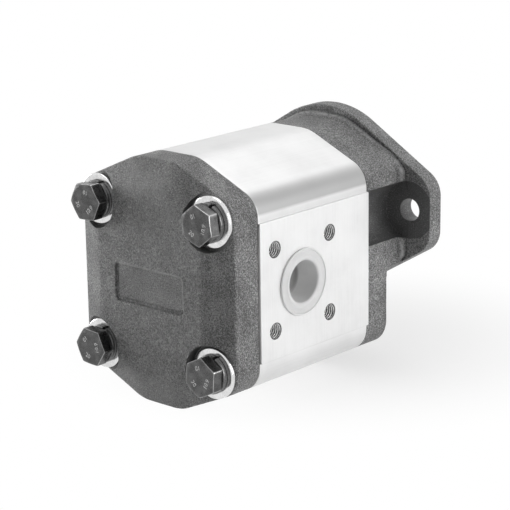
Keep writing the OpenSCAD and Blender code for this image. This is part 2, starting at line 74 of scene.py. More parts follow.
class Wire:
    """An output of a shader node. Sums and products of wires and numbers add Math nodes."""

    def __init__(self, tree, socket):
        self.tree = tree
        self.socket = socket

    def node(self, kind, settings=None, inputs=None, output=0):
        """Adds a node: its settings first, then its inputs, each a number, a colour or a wire."""
        made = self.tree.nodes.new("ShaderNode" + kind)
        for name, value in (settings or {}).items():
            if name == "stops":
                while len(made.color_ramp.elements) < len(value):
                    made.color_ramp.elements.new(1)
                for element, (place, tone) in zip(made.color_ramp.elements, value):
                    element.position = place
                    element.color = (tone, tone, tone, 1) if isinstance(tone, (int, float)) else (*tone, 1)
            else:
                setattr(made, name, value)
        for key, value in (inputs or {}).items():
            if isinstance(value, Wire):
                self.tree.links.new(value.socket, made.inputs[key])
            else:
                made.inputs[key].default_value = value
        return Wire(self.tree, made.outputs[output])

    def math(self, operation, *others):
        """A Math node with this wire as its first value."""
        values = dict(enumerate((self,) + others))
        return self.node("Math", {"operation": operation}, values)

    def clamp(self):
        """The value held between 0 and 1."""
        return self.node("Clamp", None, {0: self})

    def step(self, low, high):
        """Rises smoothly from 0 at low to 1 at high."""
        settings = {"interpolation_type": "SMOOTHSTEP"}
        return self.node("MapRange", settings, {0: self, 1: low, 2: high})

    def along(self, axis):
        """One coordinate of a vector."""
        return self.node("SeparateXYZ", None, {0: self}, axis)

    def stretched(self, x, y, z):
        """The vector with each coordinate multiplied by its own number."""
        return self.node("VectorMath", {"operation": "MULTIPLY"}, {0: self, 1: (x, y, z)})

    def noise(self, scale, detail=2.0, roughness=0.5):
        """Cloudy noise from 0 to 1 with this many cells in a metre."""
        inputs = {"Vector": self, "Scale": scale, "Detail": detail, "Roughness": roughness}
        return self.node("TexNoise", None, inputs)

    def blend(self, low, high):
        """Mixes two colours by this wire, low at 0 and high at 1."""
        settings = {"data_type": "RGBA"}
        low = low if isinstance(low, Wire) else (*low, 1)
        high = high if isinstance(high, Wire) else (*high, 1)
        return self.node("Mix", settings, {0: self, 6: low, 7: high}, 2)

    def ramp(self, *stops):
        """Colour by this wire's value, through stops of place and tone."""
        return self.node("ValToRGB", {"stops": stops}, {0: self})

    def bump(self, distance, strength):
        """Turns this height, in metres when multiplied by distance, into a normal."""
        return self.node("Bump", None, {"Height": self, "Distance": distance, "Strength": strength})

    def __add__(self, other):
        return self.math("ADD", other)

    def __sub__(self, other):
        return self.math("SUBTRACT", other)

    def __rsub__(self, other):
        return self.node("Math", {"operation": "SUBTRACT"}, {0: other, 1: self})

    def __mul__(self, other):
        return self.math("MULTIPLY", other)

    __radd__ = __add__
    __rmul__ = __mul__


class Finish:
    """A material with one principled shader. Its fixed numbers are set on the shader's own sockets."""

    def __init__(self, name, **fixed):
        self.material = bpy.data.materials.new(name)
        self.material.use_nodes = True
        self.tree = self.material.node_tree
        self.shader = self.tree.nodes["Principled BSDF"]
        for socket, value in fixed.items():
            self.shader.inputs[socket.replace("_", " ")].default_value = value
        self.place = Wire(self.tree, self.tree.nodes.new("ShaderNodeTexCoord").outputs["Object"])

    def painted(self, name):
        """The number that paint stored at each vertex under this name."""
        return self.place.node("Attribute", {"attribute_name": name}, None, "Fac")

    def feed(self, **wires):
        """Links each wire to the shader's socket of that name."""
        for socket, wire in wires.items():
            self.tree.links.new(wire.socket, self.shader.inputs[socket.replace("_", " ")])
        return self.material


def outline(corners, radii, spacing=0.8, arc_steps=6):
    """Points and outward normals round a polygon, anticlockwise, whose corners are true arcs.
    An arc's centre lies on its corner's bisector, a radius from both sides. Points share each arc
    evenly by angle, and each straight side evenly by length."""
    corners = np.array(corners, float)
    radii = np.array(radii, float)
    ahead = np.roll(corners, -1, 0) - corners
    ahead /= np.linalg.norm(ahead, axis=1)[:, None]
    behind = np.roll(ahead, 1, 0)
    turn = np.arctan2(behind[:, 0] * ahead[:, 1] - behind[:, 1] * ahead[:, 0], (behind * ahead).sum(1))
    side = np.sign(turn)
    start_normal = np.stack([behind[:, 1], -behind[:, 0]], 1)
    start = corners - behind * (radii * np.tan(np.abs(turn) / 2))[:, None]
    centre = start - start_normal * (radii * side)[:, None]
    first = np.arctan2(start_normal[:, 1], start_normal[:, 0])
    last = first + turn
    finish_point = centre + (radii * side)[:, None] * np.stack([np.cos(last), np.sin(last)], 1)
    following = np.roll(start, -1, 0)
    lengths = np.stack([radii * np.abs(turn), np.linalg.norm(following - finish_point, axis=1)], 1).ravel()
    fewest = np.tile([arc_steps, 1], len(corners))
    counts = np.maximum(np.ceil(lengths / spacing).astype(int), fewest)
    part = np.repeat(np.arange(len(counts)), counts)
    share = (np.arange(counts.sum()) - np.repeat(np.cumsum(counts) - counts, counts)) / counts[part]
    corner = part // 2
    on_arc = part % 2 == 0
    angle = first[corner] + turn[corner] * np.where(on_arc, share, 1)
    normals = np.stack([np.cos(angle), np.sin(angle)], 1)
    on_corner = centre[corner] + (radii * side)[corner][:, None] * normals
    on_side = finish_point[corner] + (following - finish_point)[corner] * share[:, None]
    return np.where(on_arc[:, None], on_corner, on_side), normals


def carried(points, normals, steps):
    """Rings of one outline carried along the shaft: each step is how far the ring is drawn in
    from the outline and its place along Y. A ring is outline minus inset times normal."""
    steps = np.array(steps, float)
    flat = points[None] - normals[None] * steps[:, 0, None, None]
    along = np.broadcast_to(steps[:, 1, None], flat.shape[:2])
    return np.stack([flat[..., 0], along, flat[..., 1]], -1)


def in_scene(name, data):
    """A new object in the scene that shows this data."""
    made = bpy.data.objects.new(name, data)
    bpy.context.scene.collection.objects.link(made)
    return made


def weld(mesh, distance):
    """Merges the points of a mesh that lie closer together than this."""
    welded = bmesh.new()
    welded.from_mesh(mesh)
    bmesh.ops.remove_doubles(welded, verts=welded.verts, dist=distance)
    welded.to_mesh(mesh)
    welded.free()


def skin(name, shells, material, tube=False, sharp=32):
    """Closed mesh in metres from shells in millimetres, each an array of rings by points by XYZ.
    Neighbouring rings are joined by four-sided faces. A tube joins its last ring to its first;
    otherwise a fan to the middle of each end ring closes it. A shell whose volume, the sum over
    its faces of the corner products, comes out negative has its faces turned round."""
    all_points, all_corners, all_sizes, count = [], [], [], 0
    for rings in shells:
        rows, around = rings.shape[:2]
        index = np.arange(rows * around).reshape(rows, around)
        beside = np.roll(index, -1, 1)
        points = rings.reshape(-1, 3)
        if tube:
            quads = np.stack([index, beside, np.roll(beside, -1, 0), np.roll(index, -1, 0)], -1)
            quads = quads.reshape(-1, 4)
            fans = np.zeros((0, 3), int)
        else:
            quads = np.stack([index[:-1], beside[:-1], beside[1:], index[1:]], -1).reshape(-1, 4)
            ends = [np.full(around, rows * around), np.full(around, rows * around + 1)]
            fans = np.concatenate([
                np.stack([beside[0], index[0], ends[0]], -1),
                np.stack([index[-1], beside[-1], ends[1]], -1)])
            points = np.concatenate([points, rings[0].mean(0)[None], rings[-1].mean(0)[None]])
        corners = points - points.mean(0)
        triangles = np.concatenate([quads[:, [0, 1, 2]], quads[:, [0, 2, 3]], fans])
        a, b, c = (corners[triangles[:, k]] for k in range(3))
        if (a * np.cross(b, c)).sum() < 0:
            quads = quads[:, ::-1]
            fans = fans[:, ::-1]
        all_points.append(points)
        all_corners += [quads.ravel() + count, fans.ravel() + count]
        all_sizes += [np.full(len(quads), 4), np.full(len(fans), 3)]
        count += len(points)
    mesh = bpy.data.meshes.new(name)
    points = np.concatenate(all_points) * MM
    corners = np.concatenate(all_corners)
    sizes = np.concatenate(all_sizes)
    mesh.vertices.add(len(points))
    mesh.vertices.foreach_set("co", points.ravel())
    mesh.loops.add(len(corners))
    mesh.loops.foreach_set("vertex_index", corners)
    mesh.polygons.add(len(sizes))
    mesh.polygons.foreach_set("loop_start", np.cumsum(sizes) - sizes)
    mesh.update(calc_edges=True)
    weld(mesh, 1e-6)
    mesh.materials.append(material)
    mesh.shade_smooth()
    mesh.set_sharp_from_angle(angle=math.radians(sharp))
    return in_scene(name, mesh)


def worked_out(piece):
    """The mesh that a piece's modifiers or its curve give."""
    graph = bpy.context.evaluated_depsgraph_get()
    return bpy.data.meshes.new_from_object(piece.evaluated_get(graph))


def cut(piece, tool, sharp=32):
    """Takes the tool's shape out of the piece. The cut faces keep the tool's finish."""
    step = piece.modifiers.new("cut", "BOOLEAN")
    step.operation = "DIFFERENCE"
    step.solver = "EXACT"
    step.material_mode = "TRANSFER"
    step.object = tool
    result = worked_out(piece)
    piece.modifiers.clear()
    piece.data = result
    result.shade_smooth()
    result.set_sharp_from_angle(angle=math.radians(sharp))
    bpy.data.objects.remove(tool)
    # Large flat faces next to small round ones keep their own flat shading.
    level_out = piece.modifiers.new("level_out", "WEIGHTED_NORMAL")
    level_out.keep_sharp = True
    level_out.weight = 80
    piece.data = worked_out(piece)
    piece.modifiers.clear()


def spindle(centre, profile, around=48, direction=(0, 1, 0)):
    """Rings of a turned shape: at each distance along the direction from the centre, a circle of
    that radius. The profile lists distance and radius."""
    direction = np.array(direction, float)
    first = np.array([0, 0, 1.0]) if abs(direction[2]) < 0.5 else np.array([1.0, 0, 0])
    second = np.cross(direction, first)
    angle = np.linspace(0, 2 * np.pi, around, endpoint=False)
    circle = np.cos(angle)[:, None] * first + np.sin(angle)[:, None] * second
    profile = np.array(profile, float)
    return np.array(centre, float) + profile[:, None, :1] * direction + profile[:, None, 1:] * circle[None]


def settle(piece, body, slot, *replaced):
    """Joins a finished piece to its CAD body, in place of the nodes it stands for. The slot is not used."""
    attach(piece, body)
    if replaced:
        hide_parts(*replaced)


def paint(piece, name, formula):
    """Stores a number at each vertex, worked out from all their places in millimetres."""
    place = np.zeros(len(piece.data.vertices) * 3)
    piece.data.vertices.foreach_get("co", place)
    values = formula(place.reshape(-1, 3) / MM)
    stored = piece.data.attributes.new(name, "FLOAT", "POINT")
    stored.data.foreach_set("value", values.astype(np.float32))


def housing_corners(pads=False):
    """Corners and radii of the housing's outline, anticlockwise from the lower right."""
    right = [((body_half_width, -shoulder_height), shoulder_radius)]
    if pads:
        right += [((body_half_width, -pad_half_height), 0.35), ((pad_x, -pad_half_height), 0.3),
            ((pad_x, pad_half_height), 0.3), ((body_half_width, pad_half_height), 0.35)]
    right += [((body_half_width, shoulder_height), shoulder_radius),
        ((crown_half_width, body_half_height), crown_radius)]
    left = [((-x, z), r) for (x, z), r in reversed(right)]
    bottom = [((x, -body_half_height), crown_radius) for x in (-crown_half_width, crown_half_width)]
    listed = right + left + bottom
    return [(x, z + middle_z) for (x, z), r in listed], [r for corner, r in listed]


extruded = Finish("extruded_aluminium", Metallic=0.55, IOR=1.45)
die_lines = extruded.place.stretched(1, 0.012, 1).noise(1500, 3, 0.6)
mill_marks = extruded.place.stretched(1, 1, 0.05).noise(900, 2, 0.5)
sideways = extruded.place.along(0).math("ABSOLUTE")
on_pad = sideways.step(0.0494, 0.0496)
surface_lines = on_pad * (mill_marks - die_lines) + die_lines
handling = extruded.place.noise(45, 4, 0.6)
# The painted shade lies on the rounded shoulders of the upper half, and fades towards the flat sides.
shoulder_painted_shade = sideways.step(0.0395, 0.0479) * (1 - 0.75 * sideways.step(0.0482, 0.0485))
shoulder_painted_shade = shoulder_painted_shade * (1 - on_pad) * extruded.place.along(2).step(0.0, 0.01)
sheen = (surface_lines * 0.3 + handling * 0.7).ramp((0.3, 0.76), (0.5, 0.82), (0.7, 0.86))
body_aluminium = extruded.feed(
    Base_Color=(shoulder_painted_shade * 0.85).blend(sheen, (0.3, 0.3, 0.3)),
    Roughness=surface_lines * 0.16 + handling * 0.1 + 0.32,
    Normal=surface_lines.bump(0.00003, 0.5))


def even_finish(name, noise, tones, rough, bump, stretch=(1, 1, 1), **fixed):
    """A finish of one noise, given by scale, detail and roughness. It runs through the tones, adds its
    part to the least roughness, and raises a bump of this height and strength."""
    made = Finish(name, **fixed)
    grain = made.place.stretched(*stretch).noise(*noise)
    return made.feed(
        Base_Color=grain.ramp(*tones),
        Roughness=rough[0] + rough[1] * grain,
        Normal=grain.bump(*bump))


cut_aluminium = even_finish(
    "cut_aluminium", noise=(2500, 2), tones=((0.3, 0.55), (0.7, 0.68)), rough=(0.22, 0.2),
    bump=(0.00002, 0.4), Metallic=0.7, IOR=1.45)

ring, ring_normals = outline(*housing_corners(pads=True), spacing=1.2)
outside = carried(ring, ring_normals, [
    (0.6, body_rear), (0.35, body_rear + 0.05), (0.1, body_rear + 0.2), (0, body_rear + 0.5),
    (0, body_rear + 1.5), (0, (body_rear + body_front) / 2), (0, body_front - 1.5),
    (0, body_front - 0.5), (0.1, body_front - 0.2), (0.35, body_front - 0.05), (0.6, body_front)])
# The gear bores are two circles round the shafts. A ray from the middle leaves the upper one at
# half the spacing times the sine of its angle, plus the root of radius squared less the cosine part.
ray = np.arctan2(ring[:, 1] - middle_z, ring[:, 0])
reach = half_spacing * np.abs(np.sin(ray))
reach += np.sqrt(gear_bore_radius ** 2 - (half_spacing * np.cos(ray)) ** 2)
inner = np.stack([reach * np.cos(ray), middle_z + reach * np.sin(ray)], 1)
inside = carried(inner, np.zeros_like(inner), [(0, body_front), (0, body_rear)])
pump_body = skin("pump_body_extrusion", [np.concatenate([outside, inside])], body_aluminium, tube=True)

port_profile = [(pad_x - 17.01, 9.5), (pad_x - 17, port_radius), (pad_x - 0.4, port_radius),
    (pad_x, port_radius + 0.4), (pad_x + 1, port_radius + 1)]
port_profile = [(-x, radius) for x, radius in reversed(port_profile)] + port_profile
ports = [spindle((0, port_y, middle_z), port_profile, 96, (1, 0, 0))]
hole_places = [(side, y, z) for side in (1, -1)
    for y in (port_y - port_hole_offset, port_y + port_hole_offset)
    for z in (middle_z - port_hole_offset, middle_z + port_hole_offset)]
hole_profile = [(-1, 5.1), (0, 4.1), (0.05, thread_radius), (14, thread_radius), (16, 0.2)]
ports += [spindle((side * pad_x, y, z), hole_profile, direction=(-side, 0, 0))
    for side, y, z in hole_places]
bolt_hole = [(body_rear - 1, bolt_hole_radius), (body_front + 1, bolt_hole_radius)]
ports += [spindle((x, 0, z), bolt_hole) for x, z in bolt_axes]
ports += [spindle((x, y, middle_z), [(-8, dowel_hole_radius), (8, dowel_hole_radius)])
    for x in (-dowel_x, dowel_x) for y in (body_rear, body_front)]
cut(pump_body, skin("body_cutters", ports, cut_aluminium))
settle(pump_body, "housing", "body_aluminium", "pump_body")


def threaded_sleeve(side, y, z):
    """Wall of one tapped hole. Its inner radius is a triangle wave of depth less pitch times turn,
    between core and outer radius, and the small bevel's cone where that is wider."""
    turn = np.linspace(0, 2 * np.pi, 48, endpoint=False)
    depth = np.linspace(0.06, 13.9, 84)
    wave = np.abs((depth[:, None] / thread_pitch - turn[None] / (2 * np.pi)) % 1 * 2 - 1)
    thread = thread_core + thread_depth * np.clip(wave * 1.3 - 0.12, 0, 1)
    sink = np.clip(4.08 - depth[:, None], 3.3, 4.04)
    radius = np.maximum(thread, sink)
    rows = np.concatenate([radius, np.full((2, len(turn)), thread_radius - 0.005)])
    depths = np.concatenate([depth, [13.9, 0.06]])
    x = np.broadcast_to(side * (pad_x - depths[:, None]), rows.shape)
    return np.stack([x, y + rows * np.cos(turn), z + rows * np.sin(turn)], -1)


tapped = Finish("tapped_aluminium", Metallic=0.8, IOR=1.45)
cutting_oil = tapped.place.noise(900, 3, 0.6)
# Painted shade darkens the roots of the thread, and a painted highlight lightens its crests.
crest = tapped.painted("crest")
tapped_aluminium = tapped.feed(
    Base_Color=(crest * (0.75 + 0.5 * cutting_oil)).ramp((0.15, 0.06), (0.55, 0.3), (0.9, 0.8)),
    Roughness=cutting_oil * 0.2 + 0.14)
sleeves = [threaded_sleeve(*place) for place in hole_places]
threads = skin("port_hole_threads", sleeves, tapped_aluminium, tube=True, sharp=25)
hole_centres = np.array([(y, z) for side, y, z in hole_places[:4]])


def crest_share(place):
    """1 at the crests and 0 at the roots, from the distance to the nearest hole's axis."""
    from_axes = np.linalg.norm(place[:, None, 1:] - hole_centres[None], axis=2).min(1)
    return np.clip((thread_core + thread_depth - from_axes) / thread_depth, 0, 1)


paint(threads, "crest", crest_share)
settle(threads, "housing", "body_aluminium")

# Rear cover
# A grey-iron casting that closes the body. Its face is as cast, with a wide sloping rim and a shallow
# blank panel; only the joint face and the sunk seats of the four bolts are machined, and it is phosphated.
cover_face = -136.6
seat_face = -131.0
crease_y = -130.3
rim_angle = math.radians(22)
crease_radius = 1.3
bolt_seat_radius = 13.6
panel_middle = np.array([-0.5, middle_z - 1.3])
panel_half = np.array([21.75, 9.0])
panel_corner = 2.5
ridge_room = 0.18
rim_blend = 0.8
seal_reach = 26.95
groove_depth = 1.9
groove_half_width = 1.25


def value_noise(points, size, seed):
    """Smooth lumps from -1 to 1: random heights at the corners of a grid of cubes this wide, mixed
    between the corners by the smooth step of the place inside the cube."""
    heights = np.random.default_rng(seed).uniform(-1, 1, (32, 32, 32))
    place = points / size
    low = np.floor(place).astype(int)
    share = place - low
    share = share * share * (3 - 2 * share)
    total = np.zeros(points.shape[:-1])
    for corner in np.ndindex(2, 2, 2):
        weight = np.prod(np.where(np.array(corner) == 1, share, 1 - share), -1)
        i, j, k = np.moveaxis((low + corner) % 32, -1, 0)
        total += weight * heights[i, j, k]
    return total


def cast_rough(rings, amount):
    """Moves a grid of points along its outward normals, by the given amounts times noise of two sizes,
    and inwards by the grain's height. A normal is the cross product of the steps along and across the
    grid; where most of them point towards the middle of all the points, they are turned round. An amount
    is held below a part of the distance to the next ring, so that small corners don't fold."""
    across = np.roll(rings, -1, 1) - np.roll(rings, 1, 1)
    along = np.gradient(rings, axis=0)
    normal = np.cross(along, across)
    normal /= np.maximum(np.linalg.norm(normal, axis=-1, keepdims=True), 1e-9)
    normal *= np.sign((normal * (rings - rings.reshape(-1, 3).mean(0))).sum())
    apart = np.linalg.norm(np.diff(rings, axis=0), axis=-1)
    room = np.minimum(np.concatenate([apart[:1], apart]), np.concatenate([apart, apart[-1:]]))
    amount = np.minimum(amount, 0.35 * room)
    lumps = 0.65 * value_noise(rings, 2.6, 4) + 0.35 * value_noise(rings, 1.1, 9)
    return rings + normal * (lumps * amount - np.minimum(amount, 0.07))[..., None]


def iron_finish(name, metallic, low, high, rough, grain_height):
    """Phosphated iron: sand grain over a broad uneven tone, with lighter crystals here and there. Two
    numbers painted on a piece darken it with painted shade and lighten it with a painted highlight."""
    iron = Finish(name, Metallic=metallic, IOR=1.5)
    sand = iron.place.noise(1500, 3, 0.7)
    fine = iron.place.noise(2900, 2, 0.6)
    broad = iron.place.noise(70, 3, 0.55)
    grain = sand * 0.65 + fine * 0.35
    tone = grain * 0.85 + broad * 0.15
    colour = tone.ramp((0.43, low), (0.5, (low + high) / 2), (0.57, high), (0.65, high * 2.2))
    colour = (iron.painted("dirt") * 0.6).clamp().blend(colour, (0.03, 0.03, 0.03))
    return iron.feed(
        Base_Color=iron.painted("rubbed").clamp().blend(colour, (0.6, 0.6, 0.6)),
        Roughness=rough + 0.25 * (grain - 0.5),
        Normal=(grain + broad * 0.4).bump(grain_height, 0.9))


cast_iron = iron_finish("sand_cast_iron", 0.1, 0.075, 0.4, 0.5, 0.0013)
machined_iron = iron_finish("milled_iron", 0.35, 0.1, 0.17, 0.36, 0.00005)

ring, ring_normals = outline(*housing_corners(), spacing=0.85)
joint = [(11, body_rear), (0.5, body_rear), (0.15, body_rear - 0.15), (0, body_rear - 0.5)]
tangent = crease_radius * math.tan(math.pi / 4 - rim_angle / 2)
turn = np.linspace(0, np.pi / 2 - rim_angle, 9)
rounding = np.stack([
    crease_radius * (1 - np.cos(turn)), crease_y + tangent - crease_radius * np.sin(turn)], 1)
side_steps = [(0, y) for y in np.linspace(body_rear - 1.2, crease_y + tangent + 0.8, 11)]
rim = carried(ring, ring_normals, joint + side_steps + rounding.tolist())
# From the rounded edge inwards each ring is the last one shrunk towards the middle of the face. The
# outline bulges everywhere, so a point's distance from it is the least of its distances from the
# outline's tangents. The face is the soft minimum of a rise with that distance and the level part.
shrink = np.concatenate([np.linspace(1, 0.5, 49)[1:], np.linspace(0.5, 0.1, 84)[1:], [0.07, 0.04, 0.02]])
shrink = shrink[:, None, None]
flat = np.array([0, middle_z]) + (rim[-1][:, [0, 2]] - (0, middle_z)) * shrink
from_edge = ((ring * ring_normals).sum(1) - flat @ ring_normals.T).min(-1)
climb = from_edge * math.tan(rim_angle)
level = crease_y - cover_face - ridge_room
soft = np.clip(0.5 + (level - climb) / (2 * rim_blend), 0, 1)
climb = level * (1 - soft) + climb * soft - rim_blend * soft * (1 - soft)
face = np.stack([flat[..., 0], crease_y - climb, flat[..., 1]], -1)
rings = np.concatenate([rim, face])
cast = (rings[..., 1] < body_rear - 1.5).astype(float)
rings = cast_rough(rings, 0.07 * cast)


def panel_edge(flat):
    """Distance outside the panel's rounded rectangle, negative inside it, and a share that is 1 along
    its left and lower sides and 0 along the others."""
    off = flat - panel_middle
    corner = np.abs(off) - (panel_half - panel_corner)
    edge = np.linalg.norm(np.maximum(corner, 0), axis=-1) + np.minimum(corner.max(-1), 0) - panel_corner
    low_left = np.clip(np.maximum(-off[..., 1] - 6, -off[..., 0] - 18.5) / 1.5, 0, 1)
    return edge, low_left


# The blank panel: inside a rounded rectangle the face drops, with a sunk line along its foot at the
# left and below, and a slight raised line along its other two sides.
edge, low_left = panel_edge(rings[..., [0, 2]])
inside_panel = np.clip(0.5 - edge / 0.8, 0, 1)
inside_panel = inside_panel * inside_panel * (3 - 2 * inside_panel)
foot = 0.35 * low_left * (np.exp(-((edge + 0.2) / 0.5) ** 2) + np.exp(-((edge + 1.5) / 0.5) ** 2))
ridge = 0.22 * (1 - low_left) * np.exp(-((edge - 0.4) / 0.6) ** 2)
on_face = rings[..., 1] < cover_face + 1.0
rings[..., 1] += on_face * (0.4 * inside_panel + foot - ridge)
rings[..., 1] = np.maximum(rings[..., 1], cover_face)
rear_cover = skin("rear_cover_casting", [rings], cast_iron)
seat_profile = [(cover_face - 4, bolt_seat_radius), (seat_face - 0.4, bolt_seat_radius),
    (seat_face - 0.1, bolt_seat_radius - 0.12), (seat_face, bolt_seat_radius - 0.4),
    (seat_face + 0.001, bolt_hole_radius), (body_rear + 1, bolt_hole_radius)]
seats = [spindle((x, 0, z), seat_profile, 96) for x, z in bolt_axes]
cut(rear_cover, skin("rear_cutters", seats, machined_iron))


def seal_groove(y0, y1):
    """Closed ring between two ovals round both shafts, from y0 to y1."""
    low = -2 * half_spacing - seal_reach
    corners = [(seal_reach, low), (seal_reach, seal_reach), (-seal_reach, seal_reach), (-seal_reach, low)]
    oval, normals = outline(corners, [seal_reach - 0.05] * 4, 1.5)
    return carried(oval, normals, [(-groove_half_width, y0), (-groove_half_width, y1),
        (groove_half_width, y1), (groove_half_width, y0)])


groove = seal_groove(body_rear - groove_depth, body_rear + 1)
cut(rear_cover, skin("rear_groove", [groove], machined_iron, tube=True))


def machined_beyond(piece, y):
    """Gives the machined finish to the faces whose middle lies farther forward than y."""
    middles = np.zeros(len(piece.data.polygons) * 3)
    piece.data.polygons.foreach_get("center", middles)
    slots = np.zeros(len(piece.data.polygons), int)
    piece.data.polygons.foreach_get("material_index", slots)
    slots[middles.reshape(-1, 3)[:, 1] / MM > y] = piece.data.materials.find(machined_iron.name)
    piece.data.polygons.foreach_set("material_index", slots)


def panel_painted_shade(place):
    """Painted shade in the panel's two sunk lines at the left and below, and a little inside the other
    sides.
    """
    edge, low_left = panel_edge(place[:, [0, 2]])
    between = 0.4 * (np.abs(edge + 0.8) < 0.8)
    sunk = low_left * (np.exp(-((edge + 0.1) / 0.5) ** 2) + np.exp(-((edge + 1.6) / 0.55) ** 2) + between)
    grey = 0.2 * (1 - low_left) * np.exp(-((edge + 0.8) / 0.6) ** 2)
    return (place[:, 1] < cover_face + 2) * (0.75 + 0.5 * value_noise(place, 0.9, 5)) * (sunk + grey)


def panel_painted_highlight(place):
    """Painted highlight on the slight ridge along the panel's upper and right-hand sides, broken up by
    noise.
    """
    edge, low_left = panel_edge(place[:, [0, 2]])
    ridge = (1 - low_left) * np.exp(-((edge - 0.3) / 0.5) ** 2)
    return (place[:, 1] < cover_face + 2) * (0.6 + 0.4 * value_noise(place, 0.9, 6)) * ridge


machined_beyond(rear_cover, body_rear - 0.1)
paint(rear_cover, "dirt", panel_painted_shade)
paint(rear_cover, "rubbed", panel_painted_highlight)
settle(rear_cover, "housing", "cast_iron", "rear_cover")

# Front cover
# The second casting joins a plate that closes the body, a short neck and the two-bolt mounting
# flange. A milling cutter has cleared the flange bolts behind both ears, and the front is turned.
flange_near = -9.0
plate_near = -20.6
pilot_radius = 41.275
pilot_face = 6.35
seal_radius = 16
flange_top = 45.97
flange_bottom = 48.3
flange_slope = math.radians(30.9)
ear_x = 53.2
ear_radius = 12.5
ear_seat_radius = 14.5
ear_hole_radius = 5.6
tap_radius = 5.02
polar_middle = np.array([0, -12.0])
angle = np.linspace(-np.pi, np.pi, 640, endpoint=False)
heading = np.stack([np.cos(angle), np.sin(angle)], 1)


def reach_of(points):
    """How far an outline lies from the polar middle at each heading, read off its own points."""
    offset = points - polar_middle
    bearing = np.arctan2(offset[:, 1], offset[:, 0])
    order = np.argsort(bearing)
    return np.interp(angle, bearing[order], np.linalg.norm(offset, axis=1)[order], period=2 * np.pi)


half_flange = ear_x + ear_radius
top = flange_top / math.cos(flange_slope)
bottom = flange_bottom / math.cos(flange_slope)
drop = half_flange * math.tan(flange_slope)
flange_corners = [(0, -bottom), (half_flange, drop - bottom), (half_flange, top - drop), (0, top),
    (-half_flange, top - drop), (-half_flange, drop - bottom)]
flange_radii = [flange_bottom, ear_radius, ear_radius, flange_top, ear_radius, ear_radius]
plate_reach = reach_of(outline(*housing_corners(), spacing=0.4)[0])
flange_reach = reach_of(outline(flange_corners, flange_radii, spacing=0.4)[0])
# Where the two outlines cross, the plate's near edge is filled out into a round corner.
plate_edge = plate_reach + 0.75 * np.clip(1 - np.abs(plate_reach - flange_reach) / 3, 0, 1) ** 2
neck_reach = np.minimum(plate_edge - 0.04, flange_reach - 0.04)
# Where the flange stands out far enough, a lumpy bead of iron fills the corner between it and the neck.
bead = np.clip((flange_reach - neck_reach) / 5 - 0.2, 0, 1)


def bent(path, radii, steps):
    """Rounds the inner corners of a path of reach and Y, one path for each heading. Near a corner it
    follows the parabola between points a radius away on both sides, or half a side where that is
    shorter. Each straight side is cut into its number of steps."""
    rows = [path[:1]]
    before = path[0]
    for k in range(1, len(path) - 1):
        back = path[k - 1] - path[k]
        ahead = path[k + 1] - path[k]
        back_length = np.linalg.norm(back, axis=-1, keepdims=True)
        ahead_length = np.linalg.norm(ahead, axis=-1, keepdims=True)
        near = np.minimum(radii[k - 1], 0.49 * np.minimum(back_length, ahead_length))
        a = path[k] + back / np.maximum(back_length, 1e-9) * near
        b = path[k] + ahead / np.maximum(ahead_length, 1e-9) * near
        share = np.linspace(0, 1, steps[k - 1] + 1)[1:-1, None, None]
        rows.append(before + (a - before) * share)
        share = np.linspace(0, 1, 7)[:, None, None]
        rows.append((1 - share) ** 2 * a + 2 * share * (1 - share) * path[k] + share ** 2 * b)
        before = b
    share = np.linspace(0, 1, steps[-1] + 1)[1:, None, None]
    rows.append(before + (path[-1] - before) * share)
    return np.concatenate(rows)


def spread(stations, around):
    """Radii and places along Y as two arrays of stations by points. A station gives each of the two
    as one number or as one for every point."""
    return [np.stack([np.broadcast_to(station[k], around) for station in stations]) for k in range(2)]


def along_path(*stations):
    """Stations of reach and Y as an array of stations by headings by two."""
    return np.stack(spread(stations, len(angle)), -1)


# The neck meets the plate in a quarter-round fillet: at each angle round it the neck's outline is wider
# by the radius less its sine part, and the plate's outline ends it where the neck would stand out.
fillet_radius = 4.6
turn = np.linspace(0, np.pi / 2, 9)
fillet = along_path(*[
    (np.minimum(plate_edge, flange_reach + fillet_radius * (1 - math.sin(t))) - 0.04,
        plate_near + fillet_radius * (1 - math.cos(t))) for t in turn])
path = np.concatenate([
    bent(along_path((plate_reach, body_front), (plate_edge, plate_near), (fillet[0, :, 0], plate_near)),
        [0.45], [18, 8])[:-1],
    fillet[:-1],
    bent(along_path((neck_reach, plate_near + fillet_radius), (neck_reach, flange_near - 3.6),
        (neck_reach + 2.3 * bead, flange_near - 1.1), (neck_reach + 2.6 * bead, flange_near),
        (flange_reach, flange_near), (flange_reach, 0), (flange_reach - 1.2, 0)),
        [1.2, 0.8, 0.5, 0.9, 0.5], [7, 5, 2, 12, 12, 2])])
outer = polar_middle[None, None] + path[..., :1] * heading[None]
outer = np.stack([outer[..., 0], path[..., 1], outer[..., 1]], -1)
root = np.exp(-((path[..., 1] - flange_near + 1.9) / 1.5) ** 2) * bead
machined = (path[..., 1] < body_front + 0.3) | (path[..., 1] > -1.2)
outer = cast_rough(outer, np.where(machined, 0, 0.07 + 0.7 * root))
outer[..., 1] = np.clip(outer[..., 1], body_front, 0)


def circles(*stations):
    """Turned rings round the shaft, each of a radius at a place along Y."""
    radius, y = spread(stations, len(angle))
    return np.stack([radius * heading[:, 0], y, radius * heading[:, 1]], -1)


turned = circles(
    (pilot_radius + 0.6, 0), (pilot_radius + 0.1, 0.1), (pilot_radius, 0.6), (pilot_radius, 5.4),
    (pilot_radius - 0.3, 6.0), (pilot_radius - 0.9, pilot_face), (seal_radius + 1, pilot_face),
    (seal_radius, 5.6), (seal_radius, 4.75), (seal_radius + 1.1, 4.74), (seal_radius + 1.1, 3.56),
    (seal_radius, 3.55), (seal_radius, -3.2), (seal_radius - 0.3, -3.45), (10.7, -3.45), (10.5, -3.7),
    (10.5, body_front + 0.4), (10.9, body_front))
front_cover = skin("front_cover_casting", [np.concatenate([outer, turned])], cast_iron, tube=True)

